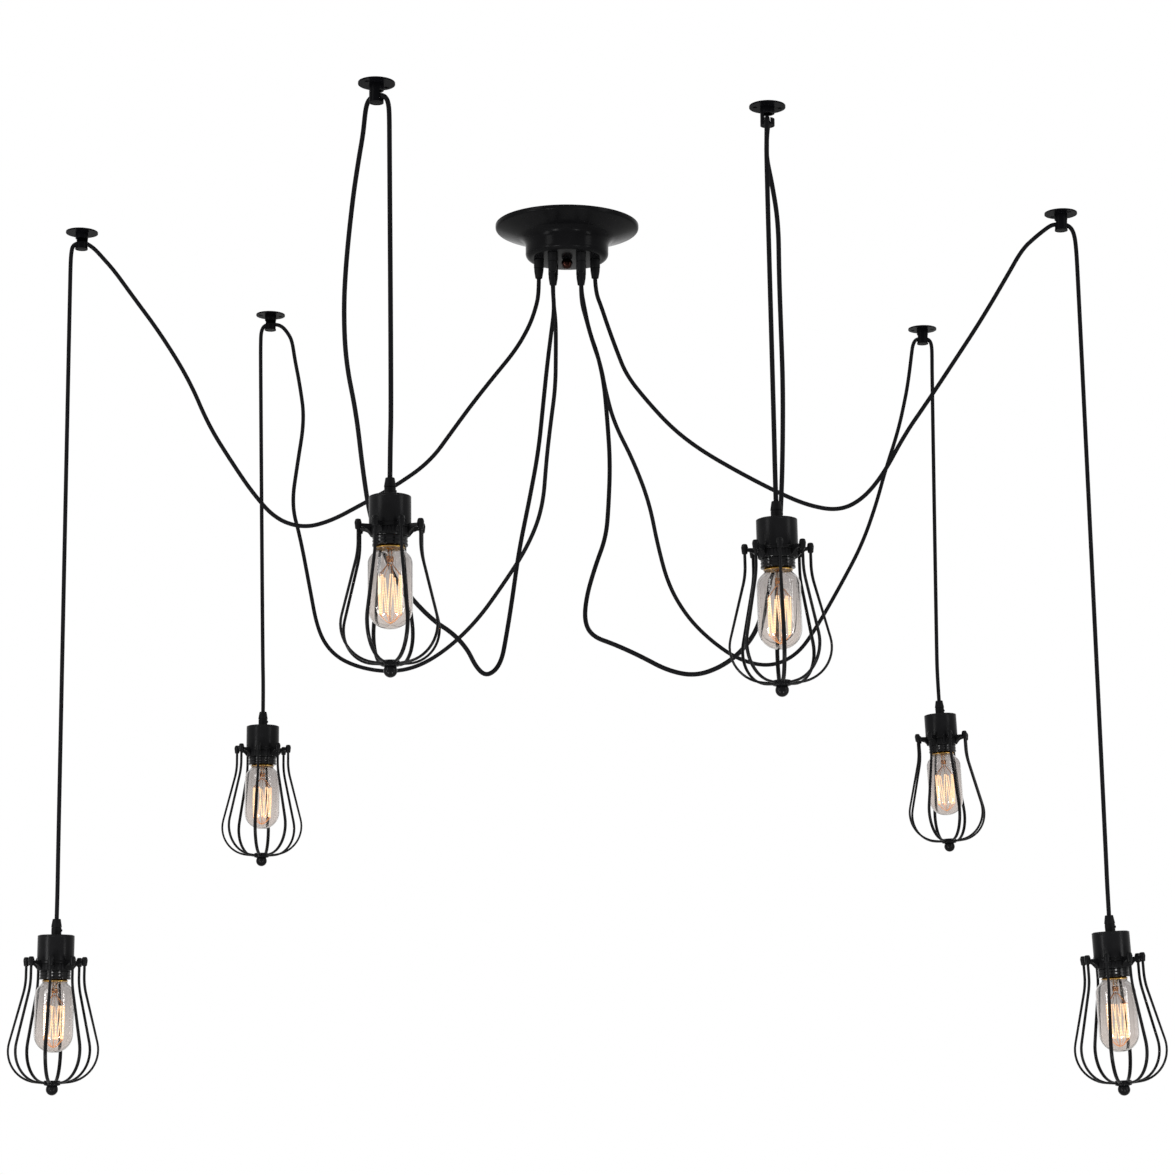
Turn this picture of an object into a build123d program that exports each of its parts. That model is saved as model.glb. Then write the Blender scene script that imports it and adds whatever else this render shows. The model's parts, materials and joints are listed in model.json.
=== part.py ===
from build123d import *
import math
import os

# Cluster pendant light: one ceiling canopy, six cords that swag to ceiling hooks, six caged lamps.
# Millimetres, +Z up. The origin is the canopy's centre on the ceiling, +X is the viewer's right,
# +Y points away from the viewer. Everything hangs below z = 0.

os.makedirs("parts", exist_ok=True)

# Alignments: hung below, set on, or starting from the origin
hung = (Align.CENTER, Align.CENTER, Align.MAX)
seated = (Align.CENTER, Align.CENTER, Align.MIN)

# Clearances that several pieces share
overrun = 5.0
fit_gap = 0.1
turning_gap = 0.4

# Cord: a round braided cord, drawn with six sides of the same area
cord_diameter = 5.0
cord_sides = 6
bend_share = 0.45

# Canopy shell: a spun saucer with a drum under it
canopy_radius = 85.2
canopy_wall = 1.2
rim_depth = 5.0
rim_round = 3.4
drum_radius = 49.2
saucer_depth = 17.0
saucer_round = 14.0
canopy_depth = 41.5
drum_round = 7.0

# Mounting bar on the ceiling, centre rod and its lock nut
bar_length = 110.0
bar_width = 22.0
bar_thickness = 2.0
bar_slot_spacing = 70.0
bar_slot_length = 20.0
bar_slot_width = 4.5
rod_radius = 3.0
lock_nut_width = 10.0
lock_nut_height = 5.0

# Ball nut under the drum, with the flat that seats it
ball_nut_radius = 6.8
ball_nut_seat_radius = 4.8

# Terminal block under the bar
terminal_length = 31.0
terminal_width = 15.0
terminal_height = 13.0
terminal_x = 15.5
terminal_ways = 3
terminal_pitch = 9.5
terminal_bore_radius = 1.8
terminal_screw_radius = 2.2
terminal_screw_depth = 5.0

# Cord grips under the canopy
canopy_grip_circle = 33.4
canopy_grip_radius = 5.9
canopy_grip_length = 23.0
canopy_grip_seam_depth = 10.5
canopy_grip_groove = 0.6
canopy_grip_mouth_radius = 4.1
canopy_grip_taper = 8.0
canopy_spigot_radius = 4.8
canopy_grip_nut_width = 13.0
canopy_grip_nut_height = 3.0

# Ceiling hook: a disc with two screw holes and a hollow post with a J slot for the cord
hook_disc_radius = 19.0
hook_disc_thickness = 1.8
hook_post_radius = 7.5
hook_post_bore_radius = 5.4
hook_post_length = 19.8
hook_screw_circle = 26.0
hook_screw_radius = 2.4
hook_cord_depth = 13.8
hook_slot_rise = 5.4
hook_slot_fall = 6.1
hook_slot_width = 6.6
hook_lip_depth = 0.6

# Lamp, measured down from the top of its metal cup
lamp_grip_length = 18.4
lamp_grip_radius = 6.0
lamp_grip_top_radius = 4.6
lamp_grip_band = 1.6
lamp_grip_seam_height = 8.4
lamp_grip_base_radius = 5.7
lamp_spigot_radius = 4.0
cup_radius = 21.0
cup_wall = 1.0
cup_depth = 29.5
cup_round = 2.0
skirt_radius = 17.7
skirt_depth = 50.7
ring_radius = 20.2
ring_height = 7.3
ring_rib_count = 24
ring_rib_depth = 0.6
collar_radius = 21.5
collar_thickness = 3.5
arm_reach = 33.3
arm_width = 4.2
arm_web_drop = 6.5
web_belly_share = 0.3
cage_wire_count = 8
knob_radius = 3.6
knob_height = 10.4
knob_top_radius = 2.3
knob_top_height = 1.5
knob_rise = 4.4
wire_width = 2.66
wire_drop = 21.5
wire_seat = 1.0
wire_bend_round = 80.0
belly_corner_radius = 60.8
belly_rise = 5.4
belly_round = 36.0
hub_radius = 9.35
hub_height = 6.3
hub_centre_depth = 167.8
finial_ball_radius = 6.9
finial_ball_sink = 3.25

# Bulb, measured from where its cap ends, a little below the skirt
bulb_show = 2.2
bulb_cap_radius = 13.2
bulb_cap_length = 24.5
bulb_flare_radius = 14.9
bulb_tip_radius = 4.6
bulb_tip_height = 3.1
glass_neck_radius = 14.0
glass_radius = 22.3
glass_wall = 0.9
glass_length = 80.5
glass_neck_length = 1.4
glass_neck_round = 2.5
glass_shoulder_length = 8.6
glass_shoulder_round = 14.0
glass_end_round = 21.0
stem_radius = 5.0
stem_length = 19.0
stem_rod_radius = 1.4
filament_radius = 12.0
filament_foot_radius = 5.0
filament_width = 0.8
filament_drop = 27.5
filament_height = 48.0
filament_taper = 10.0
filament_strands = 8

# Places on the ceiling, as shares of a square of it: hooks (x, y) and lamps (x, y, top of the cup)
ceiling_square = 1000.0
hook_place_shares = {
    1: (-0.582, 0.024),
    2: (-0.1905, -0.493),
    3: (-0.397, 0.397),
    4: (0.212, -0.4225),
    5: (0.5795, -0.052),
    6: (0.478, 0.4685),
}
lamp_place_shares = {
    1: (-0.586, 0.024, -0.838),
    2: (-0.1711, -0.501, -0.4315),
    3: (-0.3965, 0.397, -0.5505),
    4: (0.2158, -0.4352, -0.4418),
    5: (0.6113, -0.052, -0.8379),
    6: (0.4908, 0.4685, -0.5265),
}

# Turns in degrees: each hook's slot towards its lamp and its screws, each lamp's lean and its cage
hook_turns = {1: (180, -50), 2: (-35, 45), 3: (180, 15), 4: (-97, 5), 5: (0, 129), 6: (0, 165)}
lamp_turns = {1: (0.2, 1), 2: (0.8, 23), 3: (0.5, -3), 4: (1.2, 0), 5: (3.2, -22), 6: (2.9, 11)}

# Direction round the canopy of the grip that each cord leaves from (degrees)
grip_directions = {1: 180.0, 2: 240.0, 3: 120.0, 4: 300.0, 5: 0.0, 6: 60.0}

# Cord routes, chosen by hand. A swag leaves its grip straight down by swag_starts, passes its
# free points and comes into its hook by (along, above) pairs, measured from the hook's cord centre.
swag_starts = {1: 19.0, 2: 21.0, 3: 19.0, 4: 21.0, 5: 17.0, 6: 19.0}
swag_routes = {
    1: [(-37, 0, -101), (-45, 1, -124), (-60, 1, -153), (-81, 2, -187), (-104, 3, -222),
        (-129, 4, -252), (-161, 6, -286), (-202, 8, -315), (-240, 9, -336), (-277, 11, -356),
        (-309, 12, -364), (-342, 14, -353), (-371, 16, -322), (-396, 17, -285), (-425, 18, -239),
        (-450, 20, -185), (-485, 21, -127), (-521, 22, -80), (-543, 24, -50)],
    2: [(-17, -32, -111), (-21, -41, -142), (-25, -55, -185), (-29, -75, -240), (-34, -98, -297),
        (-44, -122, -360), (-54, -146, -420), (-61, -172, -483), (-66, -198, -529),
        (-70, -212, -552), (-77, -221, -565), (-86, -231, -571), (-96, -246, -565),
        (-106, -264, -550), (-120, -284, -536), (-138, -302, -522), (-164, -322, -500),
        (-186, -338, -469), (-202, -352, -426), (-209, -376, -376), (-215, -402, -324),
        (-225, -426, -276), (-225, -444, -226), (-222, -458, -179), (-215, -472, -117),
        (-209, -478, -77)],
    3: [(-14, 34, -109), (-12, 43, -143), (-13, 54, -184), (-19, 67, -226), (-24, 80, -267),
        (-32, 96, -323), (-50, 112, -367), (-80, 132, -409), (-113, 154, -450), (-148, 180, -483),
        (-185, 206, -501), (-222, 230, -504), (-263, 256, -494), (-296, 280, -475),
        (-318, 302, -442), (-332, 322, -378), (-346, 334, -313), (-359, 344, -269),
        (-356, 357, -211), (-347, 369, -149), (-355, 381, -99), (-363, 389, -63),
        (-370, 395, -39)],
    4: [(19, -34, -111), (24, -46, -142), (34, -62, -176), (41, -82, -214), (47, -102, -261),
        (50, -125, -315), (48, -148, -369), (45, -168, -409), (33, -186, -445), (23, -204, -483),
        (21, -220, -513), (30, -234, -531), (53, -252, -542), (81, -272, -558), (109, -290, -576),
        (137, -306, -584), (163, -320, -577), (185, -332, -562), (201, -342, -537),
        (213, -346, -494), (224, -350, -447), (227, -356, -395), (228, -366, -344),
        (228, -378, -288), (226, -388, -232), (224, -397, -175), (222, -403, -120),
        (219, -406, -78)],
    5: [(38, 0, -99), (46, -1, -124), (58, -3, -152), (72, -6, -183), (95, -9, -215),
        (125, -12, -249), (157, -16, -277), (200, -20, -305), (244, -24, -328), (280, -28, -345),
        (315, -31, -352), (342, -34, -340), (367, -37, -311), (393, -40, -263), (419, -42, -226),
        (449, -44, -181), (484, -47, -128), (515, -49, -76), (536, -51, -46)],
    6: [(20, 34, -104), (27, 46, -129), (37, 61, -156), (46, 78, -184), (57, 100, -218),
        (80, 128, -257), (100, 156, -303), (111, 184, -352), (125, 212, -398), (149, 240, -433),
        (180, 268, -459), (216, 296, -479), (258, 324, -484), (295, 346, -464), (322, 362, -424),
        (354, 378, -368), (384, 394, -312), (405, 408, -255), (419, 418, -207), (437, 434, -151),
        (450, 448, -101), (457, 460, -72)],
}
swag_ends = {
    1: [(-24, -20), (-16, -9.5), (-9.5, -2.5), (-4.5, 0)],
    2: [(-17, -38), (-15, -20), (-13.5, -10), (-10.5, -3), (-5, 0)],
    3: [(-20, -14), (-12.5, -4.5), (-5.5, 0)],
    4: [(-17, -38), (-15, -20), (-13.5, -10), (-10.5, -3), (-5, 0)],
    5: [(-27, -19), (-17, -9), (-9.5, -2.5), (-4.5, 0)],
    6: [(-17, -35), (-15, -20), (-13.5, -10), (-10.5, -3), (-5, 0)],
}

# A hanging cord leaves its hook by (along, above) pairs and ends straight above its lamp
drop_starts = {
    1: [(5, 0), (10.5, -3.5), (13.2, -11), (14, -24)],
    2: [(5, 0), (10.5, -3.5), (13.2, -11), (14, -24)],
    3: [(5, 0), (9.5, -3.5), (12, -11), (12.5, -24)],
    4: [(5, 0), (9.5, -3.5), (12, -11), (12.5, -24)],
    5: [(5, 0), (13, -4), (16.2, -12), (17, -26)],
    6: [(5, 0), (9.5, -3.5), (12, -11), (12.5, -24)],
}
drop_end_length = 35.0


def save(name, shape):
    export_step(shape, os.path.join("parts", name + ".step"))


def group(solids, name):
    save(name, Compound(children=solids))


def spun(face):
    return revolve(face, Axis.Z)


def ring_face(corners):
    # Profile in the XZ plane from (radius, height) corners
    return make_face(Plane.XZ * Polyline(*corners, close=True))


def around(count, radius=0.0, start=0.0):
    return [Rot(0, 0, start + 360 * step / count) * Pos(radius, 0, 0) for step in range(count)]


def hex_nut(width, height, bore_radius):
    outline = RegularPolygon(width / 2, 6, major_radius=False) - Circle(bore_radius)
    return extrude(outline, height)


# Cord tubes
def bend_radius(before, corner, after):
    turn = (corner - before).get_angle(after - corner)
    shorter = min((corner - before).length, (after - corner).length)
    return bend_share * shorter / math.tan(math.radians(turn / 2))


def cord_tube(name, points):
    radii = [bend_radius(*points[step:step + 3]) for step in range(len(points) - 2)]
    path = FilletPolyline(*points, radius=radii)
    equal_area = math.sqrt(2 * math.pi / cord_sides / math.sin(2 * math.pi / cord_sides))
    section = RegularPolygon(cord_diameter / 2 * equal_area, cord_sides)
    start = Plane(origin=points[0], z_dir=points[1] - points[0])
    tube = sweep(start * section, path=path)
    share = tube.volume / (section.area * path.length)
    print(name, "length", round(path.length, 1), "least radius", round(min(radii), 1),
          "volume share", round(share, 4))
    save(name, tube)


def on_ceiling(shares):
    return Vector(*shares) * ceiling_square


def hook_point(number, along, above):
    slot, screws = hook_turns[number]
    step = Vector(along, 0, above - hook_cord_depth).rotate(Axis.Z, slot)
    return on_ceiling(hook_place_shares[number]) + step


def grip_mouth(number):
    direction = math.radians(grip_directions[number])
    return Vector(canopy_grip_circle * math.cos(direction), canopy_grip_circle * math.sin(direction),
                  -canopy_depth - canopy_grip_length)


def swag_points(number):
    mouth = grip_mouth(number)
    points = [mouth, mouth - Vector(0, 0, swag_starts[number])]
    points += [Vector(*point) for point in swag_routes[number]]
    points += [hook_point(number, *pair) for pair in swag_ends[number]]
    return points + [hook_point(number, 0, 0)]


def lamp_location(number):
    lean, turn = lamp_turns[number]
    return Pos(on_ceiling(lamp_place_shares[number])) * Rot(0, -lean, 0) * Rot(0, 0, turn)


def drop_points(number):
    lamp = lamp_location(number)
    points = [hook_point(number, 0, 0)]
    points += [hook_point(number, *pair) for pair in drop_starts[number]]
    points += [(lamp * Pos(0, 0, lamp_grip_length + drop_end_length)).position]
    return points + [(lamp * Pos(0, 0, lamp_grip_length)).position]


# Canopy
def canopy_shell():
    outer = FilletPolyline((0, -canopy_depth), (drum_radius, -canopy_depth), (drum_radius, -saucer_depth),
                           (canopy_radius, -rim_depth), (canopy_radius, 0),
                           radius=[drum_round, saucer_round, rim_round])
    back = Polyline((canopy_radius, 0), (0, 0), (0, -canopy_depth))
    body = spun(make_face(Plane.XZ * (outer + back)))
    shell = offset(body, amount=-canopy_wall, openings=body.faces().sort_by(Axis.Z)[-1])
    floor_cut = Pos(0, 0, -canopy_depth - overrun)
    shell -= floor_cut * extrude(Circle(rod_radius + fit_gap), 2 * overrun)
    for place in around(len(grip_directions), canopy_grip_circle):
        shell -= floor_cut * place * extrude(Circle(canopy_spigot_radius + fit_gap), 2 * overrun)
    save("canopy_shell", shell)


def mounting_bar():
    outline = Rectangle(bar_length, bar_width)
    outline -= Circle(rod_radius + fit_gap)
    for side in (-1, 1):
        outline -= Pos(side * bar_slot_spacing / 2, 0) * SlotOverall(bar_slot_length, bar_slot_width)
    bar = Pos(0, 0, -bar_thickness) * extrude(outline, bar_thickness)
    rod_end = canopy_depth + ball_nut_radius
    rod = Pos(0, 0, -rod_end) * extrude(Circle(rod_radius), rod_end)
    nut = hex_nut(lock_nut_width, lock_nut_height, rod_radius + fit_gap)
    nut = Pos(0, 0, -bar_thickness - lock_nut_height) * nut
    group([bar, rod, nut], "mounting_bar")


def canopy_ball_nut():
    # The flat cuts the ball where its section has the seat's radius
    centre_depth = math.sqrt(ball_nut_radius**2 - ball_nut_seat_radius**2)
    ball = Pos(0, 0, -centre_depth) * Sphere(ball_nut_radius)
    ball -= extrude(Circle(ball_nut_radius), ball_nut_radius)
    nut = ball - extrude(Circle(rod_radius + fit_gap), -ball_nut_radius)
    save("canopy_ball_nut", Pos(0, 0, -canopy_depth) * nut)


def terminal_block():
    block = Box(terminal_width, terminal_length, terminal_height, align=hung)
    for way in range(terminal_ways):
        y = (way - (terminal_ways - 1) / 2) * terminal_pitch
        bore = Rot(0, 90, 0) * Cylinder(terminal_bore_radius, terminal_width + overrun)
        block -= Pos(0, y, -terminal_height / 2) * bore
        screw = extrude(Circle(terminal_screw_radius), terminal_screw_depth)
        block -= Pos(0, y, -terminal_height) * screw
    save("terminal_block", Pos(terminal_x, 0, -bar_thickness) * block)


def canopy_cord_grips():
    seam = canopy_grip_seam_depth
    length = canopy_grip_length
    spigot_top = canopy_wall + canopy_grip_nut_height
    grip = spun(ring_face([
        (0, spigot_top), (canopy_spigot_radius, spigot_top), (canopy_spigot_radius, 0),
        (canopy_grip_radius, 0), (canopy_grip_radius, -seam),
        (canopy_grip_radius - canopy_grip_groove, -seam),
        (canopy_grip_radius - canopy_grip_groove, -length + canopy_grip_taper),
        (canopy_grip_mouth_radius, -length), (0, -length)]))
    nut = hex_nut(canopy_grip_nut_width, canopy_grip_nut_height, canopy_spigot_radius + fit_gap)
    nut = Pos(0, 0, canopy_wall) * nut
    solids = []
    for number in grip_directions:
        place = Pos(0, 0, -canopy_depth) * Rot(0, 0, grip_directions[number]) * Pos(canopy_grip_circle, 0, 0)
        solids += [place * grip, place * nut]
    group(solids, "canopy_cord_grips")


# Ceiling hooks
def ceiling_hook(slot, screws):
    end = hook_disc_thickness + hook_post_length
    disc = Circle(hook_disc_radius)
    for side in (0, 180):
        disc -= Rot(0, 0, screws + side) * Pos(hook_screw_circle / 2, 0) * Circle(hook_screw_radius)
    hook = extrude(disc, -hook_disc_thickness)
    post = Circle(hook_post_radius) - Circle(hook_post_bore_radius)
    hook += Pos(0, 0, -hook_disc_thickness) * extrude(post, -hook_post_length)
    seat = Pos(0, 0, -hook_cord_depth - hook_slot_fall) * Box(
        2 * hook_post_radius + overrun, hook_slot_width, hook_slot_rise + hook_slot_fall, align=seated)
    passage = Pos(0, 0, -hook_cord_depth - hook_lip_depth) * Box(
        2 * hook_post_radius + overrun, hook_post_radius + overrun, hook_slot_rise + hook_lip_depth,
        align=(Align.CENTER, Align.MIN, Align.MIN))
    return hook - Rot(0, 0, slot) * (seat + passage)


def ceiling_hooks():
    hooks = []
    for number in hook_turns:
        hooks.append(Pos(on_ceiling(hook_place_shares[number])) * ceiling_hook(*hook_turns[number]))
    group(hooks, "ceiling_hooks")


# Lamp pieces, made about the lamp's own axis with the top of the cup at zero
def holder_cup():
    hole = lamp_spigot_radius + fit_gap
    outer = FilletPolyline((hole, 0), (cup_radius, 0), (cup_radius, -cup_depth), radius=cup_round)
    inner = Polyline((cup_radius, -cup_depth), (cup_radius - cup_wall, -cup_depth),
                     (cup_radius - cup_wall, -cup_wall), (hole, -cup_wall), (hole, 0))
    return spun(make_face(Plane.XZ * (outer + inner)))


def cord_grip():
    seam = lamp_grip_seam_height
    return spun(ring_face([
        (0, lamp_grip_length), (lamp_grip_top_radius, lamp_grip_length),
        (lamp_grip_radius, seam + lamp_grip_band), (lamp_grip_radius, seam),
        (lamp_grip_base_radius, seam), (lamp_grip_base_radius, 0),
        (lamp_spigot_radius, 0), (lamp_spigot_radius, -cup_wall), (0, -cup_wall)]))


def bulb_cap_end():
    return skirt_depth + bulb_show


def socket():
    bore = bulb_cap_radius + turning_gap
    bore_top = bulb_cap_end() - bulb_cap_length - bulb_tip_height - turning_gap
    body = cup_radius - cup_wall - fit_gap
    return spun(ring_face([
        (0, -cup_wall), (body, -cup_wall), (body, -cup_depth), (skirt_radius, -cup_depth),
        (skirt_radius, -skirt_depth), (bore, -skirt_depth), (bore, -bore_top), (0, -bore_top)]))


def shade_ring():
    top = cup_depth + collar_thickness
    outline = Circle(ring_radius) - Circle(skirt_radius + fit_gap)
    for place in around(ring_rib_count, ring_radius):
        outline -= place * Rectangle(2 * ring_rib_depth, 2 * ring_rib_depth)
    return Pos(0, 0, -top) * extrude(outline, -ring_height)


def cage():
    top = cup_depth
    spider = extrude(Circle(collar_radius) - Circle(skirt_radius + fit_gap), -collar_thickness)
    web_root = ring_radius + turning_gap
    web_tip = arm_reach - knob_radius
    arm_line = Polyline((web_tip, -collar_thickness), (arm_reach, -collar_thickness), (arm_reach, 0),
                        (web_root, 0), (web_root, -collar_thickness - arm_web_drop))
    web_line = ThreePointArc((web_root, -collar_thickness - arm_web_drop),
                             ((web_root + web_tip) / 2, -collar_thickness - arm_web_drop * web_belly_share),
                             (web_tip, -collar_thickness))
    arm = extrude(make_face(Plane.XZ * (arm_line + web_line)), arm_width / 2, both=True)
    knob_face = RegularPolygon(knob_radius, cage_wire_count)
    knob = Pos(arm_reach, 0, knob_rise - knob_height) * extrude(knob_face, knob_height - knob_top_height)
    crown = loft([Pos(arm_reach, 0, knob_rise - knob_top_height) * knob_face,
                  Pos(arm_reach, 0, knob_rise) * RegularPolygon(knob_top_radius, cage_wire_count)])
    for place in around(cage_wire_count):
        spider += place * (arm + knob + crown)
    spider = Pos(0, 0, -top) * spider

    hub = Cylinder(hub_radius, hub_height)
    hub += Pos(0, 0, finial_ball_sink - hub_height / 2 - finial_ball_radius) * Sphere(finial_ball_radius)
    hub = Pos(0, 0, -hub_centre_depth) * hub

    wire_top = top - knob_rise + knob_height
    path = FilletPolyline((arm_reach, -wire_top), (arm_reach, -wire_top - wire_drop),
                          (belly_corner_radius, belly_rise - hub_centre_depth),
                          (hub_radius - wire_seat, -hub_centre_depth),
                          radius=[wire_bend_round, belly_round])
    section = Plane(origin=(arm_reach, 0, -wire_top), z_dir=(0, 0, -1)) * Rectangle(wire_width, wire_width)
    wire = sweep(section, path=Plane.XZ * path) - hub
    wires = [place * wire for place in around(cage_wire_count)]
    return [spider] + wires + [hub]


def bulb_cap():
    end = bulb_cap_end()
    top = end - bulb_cap_length
    return spun(ring_face([
        (0, bulb_tip_height - top), (bulb_tip_radius, bulb_tip_height - top), (bulb_tip_radius, -top),
        (bulb_cap_radius, -top), (bulb_cap_radius, -skirt_depth - fit_gap), (bulb_flare_radius, -end),
        (0, -end)]))


def glass_line(inset):
    # Half of the bulb's outline from its neck to its tip, drawn in by the inset
    shoulder = glass_neck_length + glass_shoulder_length
    return FilletPolyline(
        (glass_neck_radius - inset, 0), (glass_neck_radius - inset, -glass_neck_length),
        (glass_radius - inset, -shoulder), (glass_radius - inset, inset - glass_length),
        (0, inset - glass_length),
        radius=[glass_neck_round + inset, glass_shoulder_round - inset, glass_end_round - inset])


def bulb_glass():
    outside, inside = glass_line(0), glass_line(glass_wall)
    outline = outside + inside + Line(outside @ 0, inside @ 0) + Line(outside @ 1, inside @ 1)
    return Pos(0, 0, -bulb_cap_end()) * spun(make_face(Plane.XZ * outline))


def filament():
    stem = extrude(Circle(stem_radius), -stem_length)
    rod_end = filament_drop + filament_height
    rod = Pos(0, 0, -stem_length) * extrude(Circle(stem_rod_radius), stem_length - rod_end)
    bar_end = (Align.MIN, Align.CENTER, Align.CENTER)
    support = Box(filament_radius, filament_width, filament_width, align=bar_end)
    foot = Box(filament_foot_radius, filament_width, filament_width, align=bar_end)
    frame = stem + rod
    for place in around(filament_strands):
        frame += Pos(0, 0, -filament_drop) * place * support
        frame += Pos(0, 0, filament_width / 2 - rod_end) * place * foot
    top = (filament_radius, 0, -filament_drop - filament_width / 2)
    bend = (filament_radius, 0, filament_taper - rod_end)
    end = (filament_foot_radius, 0, filament_width - rod_end)
    strand = sweep(Plane(origin=top, z_dir=(0, 0, -1)) * Rectangle(filament_width, filament_width),
                   path=Polyline(top, bend, end), transition=Transition.RIGHT)
    solids = [frame] + [place * strand for place in around(filament_strands)]
    return [Pos(0, 0, -bulb_cap_end()) * solid for solid in solids]


canopy_shell()
mounting_bar()
canopy_ball_nut()
terminal_block()
canopy_cord_grips()
ceiling_hooks()

cup = holder_cup()
holder = [cord_grip(), socket()]
ring = shade_ring()
cage_solids = cage()
cap = bulb_cap()
glass = bulb_glass()
filament_solids = filament()

for number in hook_turns:
    cord_tube(f"swag_cord_{number}", swag_points(number))
    cord_tube(f"drop_cord_{number}", drop_points(number))
    place = lamp_location(number)
    save(f"holder_cup_{number}", place * cup)
    group([place * solid for solid in holder], f"lampholder_{number}")
    save(f"shade_ring_{number}", place * ring)
    group([place * solid for solid in cage_solids], f"cage_{number}")
    save(f"bulb_cap_{number}", place * cap)
    save(f"bulb_glass_{number}", place * glass)
    group([place * solid for solid in filament_solids], f"filament_{number}")
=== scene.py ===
import json
from math import atan2, cos, pi, radians, sin, tan

import bmesh
import bpy
from mathutils import Matrix, Vector


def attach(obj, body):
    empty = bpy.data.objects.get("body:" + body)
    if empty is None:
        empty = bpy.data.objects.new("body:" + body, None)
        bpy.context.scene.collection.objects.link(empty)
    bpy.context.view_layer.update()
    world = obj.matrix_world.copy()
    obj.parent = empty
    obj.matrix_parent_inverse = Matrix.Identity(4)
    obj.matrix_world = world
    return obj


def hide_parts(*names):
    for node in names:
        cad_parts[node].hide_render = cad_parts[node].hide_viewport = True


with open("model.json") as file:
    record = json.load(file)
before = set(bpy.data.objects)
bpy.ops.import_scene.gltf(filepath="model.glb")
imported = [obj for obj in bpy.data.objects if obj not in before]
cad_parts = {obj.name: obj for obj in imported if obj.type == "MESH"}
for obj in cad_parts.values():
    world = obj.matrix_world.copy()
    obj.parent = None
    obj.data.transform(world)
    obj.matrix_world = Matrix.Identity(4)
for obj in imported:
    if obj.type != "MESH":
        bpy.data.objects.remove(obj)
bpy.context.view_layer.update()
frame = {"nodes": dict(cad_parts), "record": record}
scene = bpy.context.scene
mm = 0.001
joints = {joint["name"]: joint for joint in frame["record"]["behaviour"]["joints"]}
print("frame loaded:", len(frame["nodes"]), "nodes")


# Camera: where the photograph was taken from
view = {"place": (0.0244, -3.237, -0.996), "pitch": 99.8, "lens": 86.4, "sensor": 36.0}

cameraData = bpy.data.cameras.new("photoCamera")
cameraData.lens = view["lens"]
cameraData.sensor_width = view["sensor"]
cameraData.clip_end = 100
camera = bpy.data.objects.new("photoCamera", cameraData)
camera.location = view["place"]
camera.rotation_euler = (radians(view["pitch"]), 0, 0)
scene.collection.objects.link(camera)
scene.camera = camera
scene.view_settings.view_transform = "Standard"


# Colours and nodes
def linear(hexColour):
    channels = [int(hexColour[i:i + 2], 16) / 255 for i in (1, 3, 5)]
    return [c / 12.92 if c < 0.04045 else ((c + 0.055) / 1.055) ** 2.4 for c in channels] + [1.0]


def perMetre(sizeMm):
    return 1 / (sizeMm * mm)  # a texture's scale for features of this size


waveShare = pi / 10  # a wave texture's bands are this much closer than its scale says


def link(material, node, sources):
    for name, source in sources.items():
        origin, output = source if isinstance(source, tuple) else (source, 0)
        material.node_tree.links.new(origin.outputs[output], node.inputs[name])


def addNode(material, kind, settings=None, sources=None):
    node = material.node_tree.nodes.new(kind)
    for name, value in (settings or {}).items():
        if name == "stops":
            # Positions along the ramp, each with a hex colour or a grey value
            for element, (position, tone) in zip(node.color_ramp.elements, value):
                element.position = position
                element.color = linear(tone) if isinstance(tone, str) else (tone, tone, tone, 1)
        elif name in node.inputs:
            node.inputs[name].default_value = value
        else:
            setattr(node, name, value)
    link(material, node, sources or {})
    return node


def newMaterial(name, **values):
    material = bpy.data.materials.new(name)
    material.use_nodes = True
    shader = material.node_tree.nodes["Principled BSDF"]
    for socket, value in values.items():
        shader.inputs[socket.replace("_", " ")].default_value = value
    place = {"Vector": (addNode(material, "ShaderNodeTexCoord"), "Object")}  # where its textures are laid
    return material, shader, place


# Polyester powder coat, sprayed and baked on steel: satin black, with a fine orange peel that softens its
# highlights and a slightly duller bloom in patches
coat = {"peelMm": 1.2, "speckMm": 0.55, "bloomMm": 38, "peelDeep": 0.06, "speckDeep": 0.02}


def powderCoat(name, dark, light, rough, gloss):
    material, shader, place = newMaterial(name, IOR=1.5, Specular_IOR_Level=gloss)
    bloom = addNode(material, "ShaderNodeTexNoise", {"Scale": perMetre(coat["bloomMm"]), "Detail": 3.0},
                    place)
    peel = addNode(material, "ShaderNodeTexNoise", {"Scale": perMetre(coat["peelMm"])}, place)
    speck = addNode(material, "ShaderNodeTexVoronoi", {"Scale": perMetre(coat["speckMm"])}, place)
    colour = addNode(material, "ShaderNodeValToRGB", {"stops": [(0.35, dark), (0.7, light)]}, {"Fac": bloom})
    dull = addNode(material, "ShaderNodeValToRGB", {"stops": [(0.3, rough - 0.04), (0.75, rough + 0.06)]},
                   {"Fac": bloom})
    skin = addNode(material, "ShaderNodeBump", {"Strength": 0.35, "Distance": coat["peelDeep"] * mm},
                   {"Height": peel})
    grit = addNode(material, "ShaderNodeBump", {"Strength": 0.15, "Distance": coat["speckDeep"] * mm},
                   {"Height": speck, "Normal": skin})
    link(material, shader, {"Base Color": colour, "Roughness": dull, "Normal": grit})
    return material


# Nylon, injection moulded in a spark-textured mould: a matt black with a fine even grain
nylon = {"grainMm": 0.7, "flowMm": 12, "grainDeep": 0.05}


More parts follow.
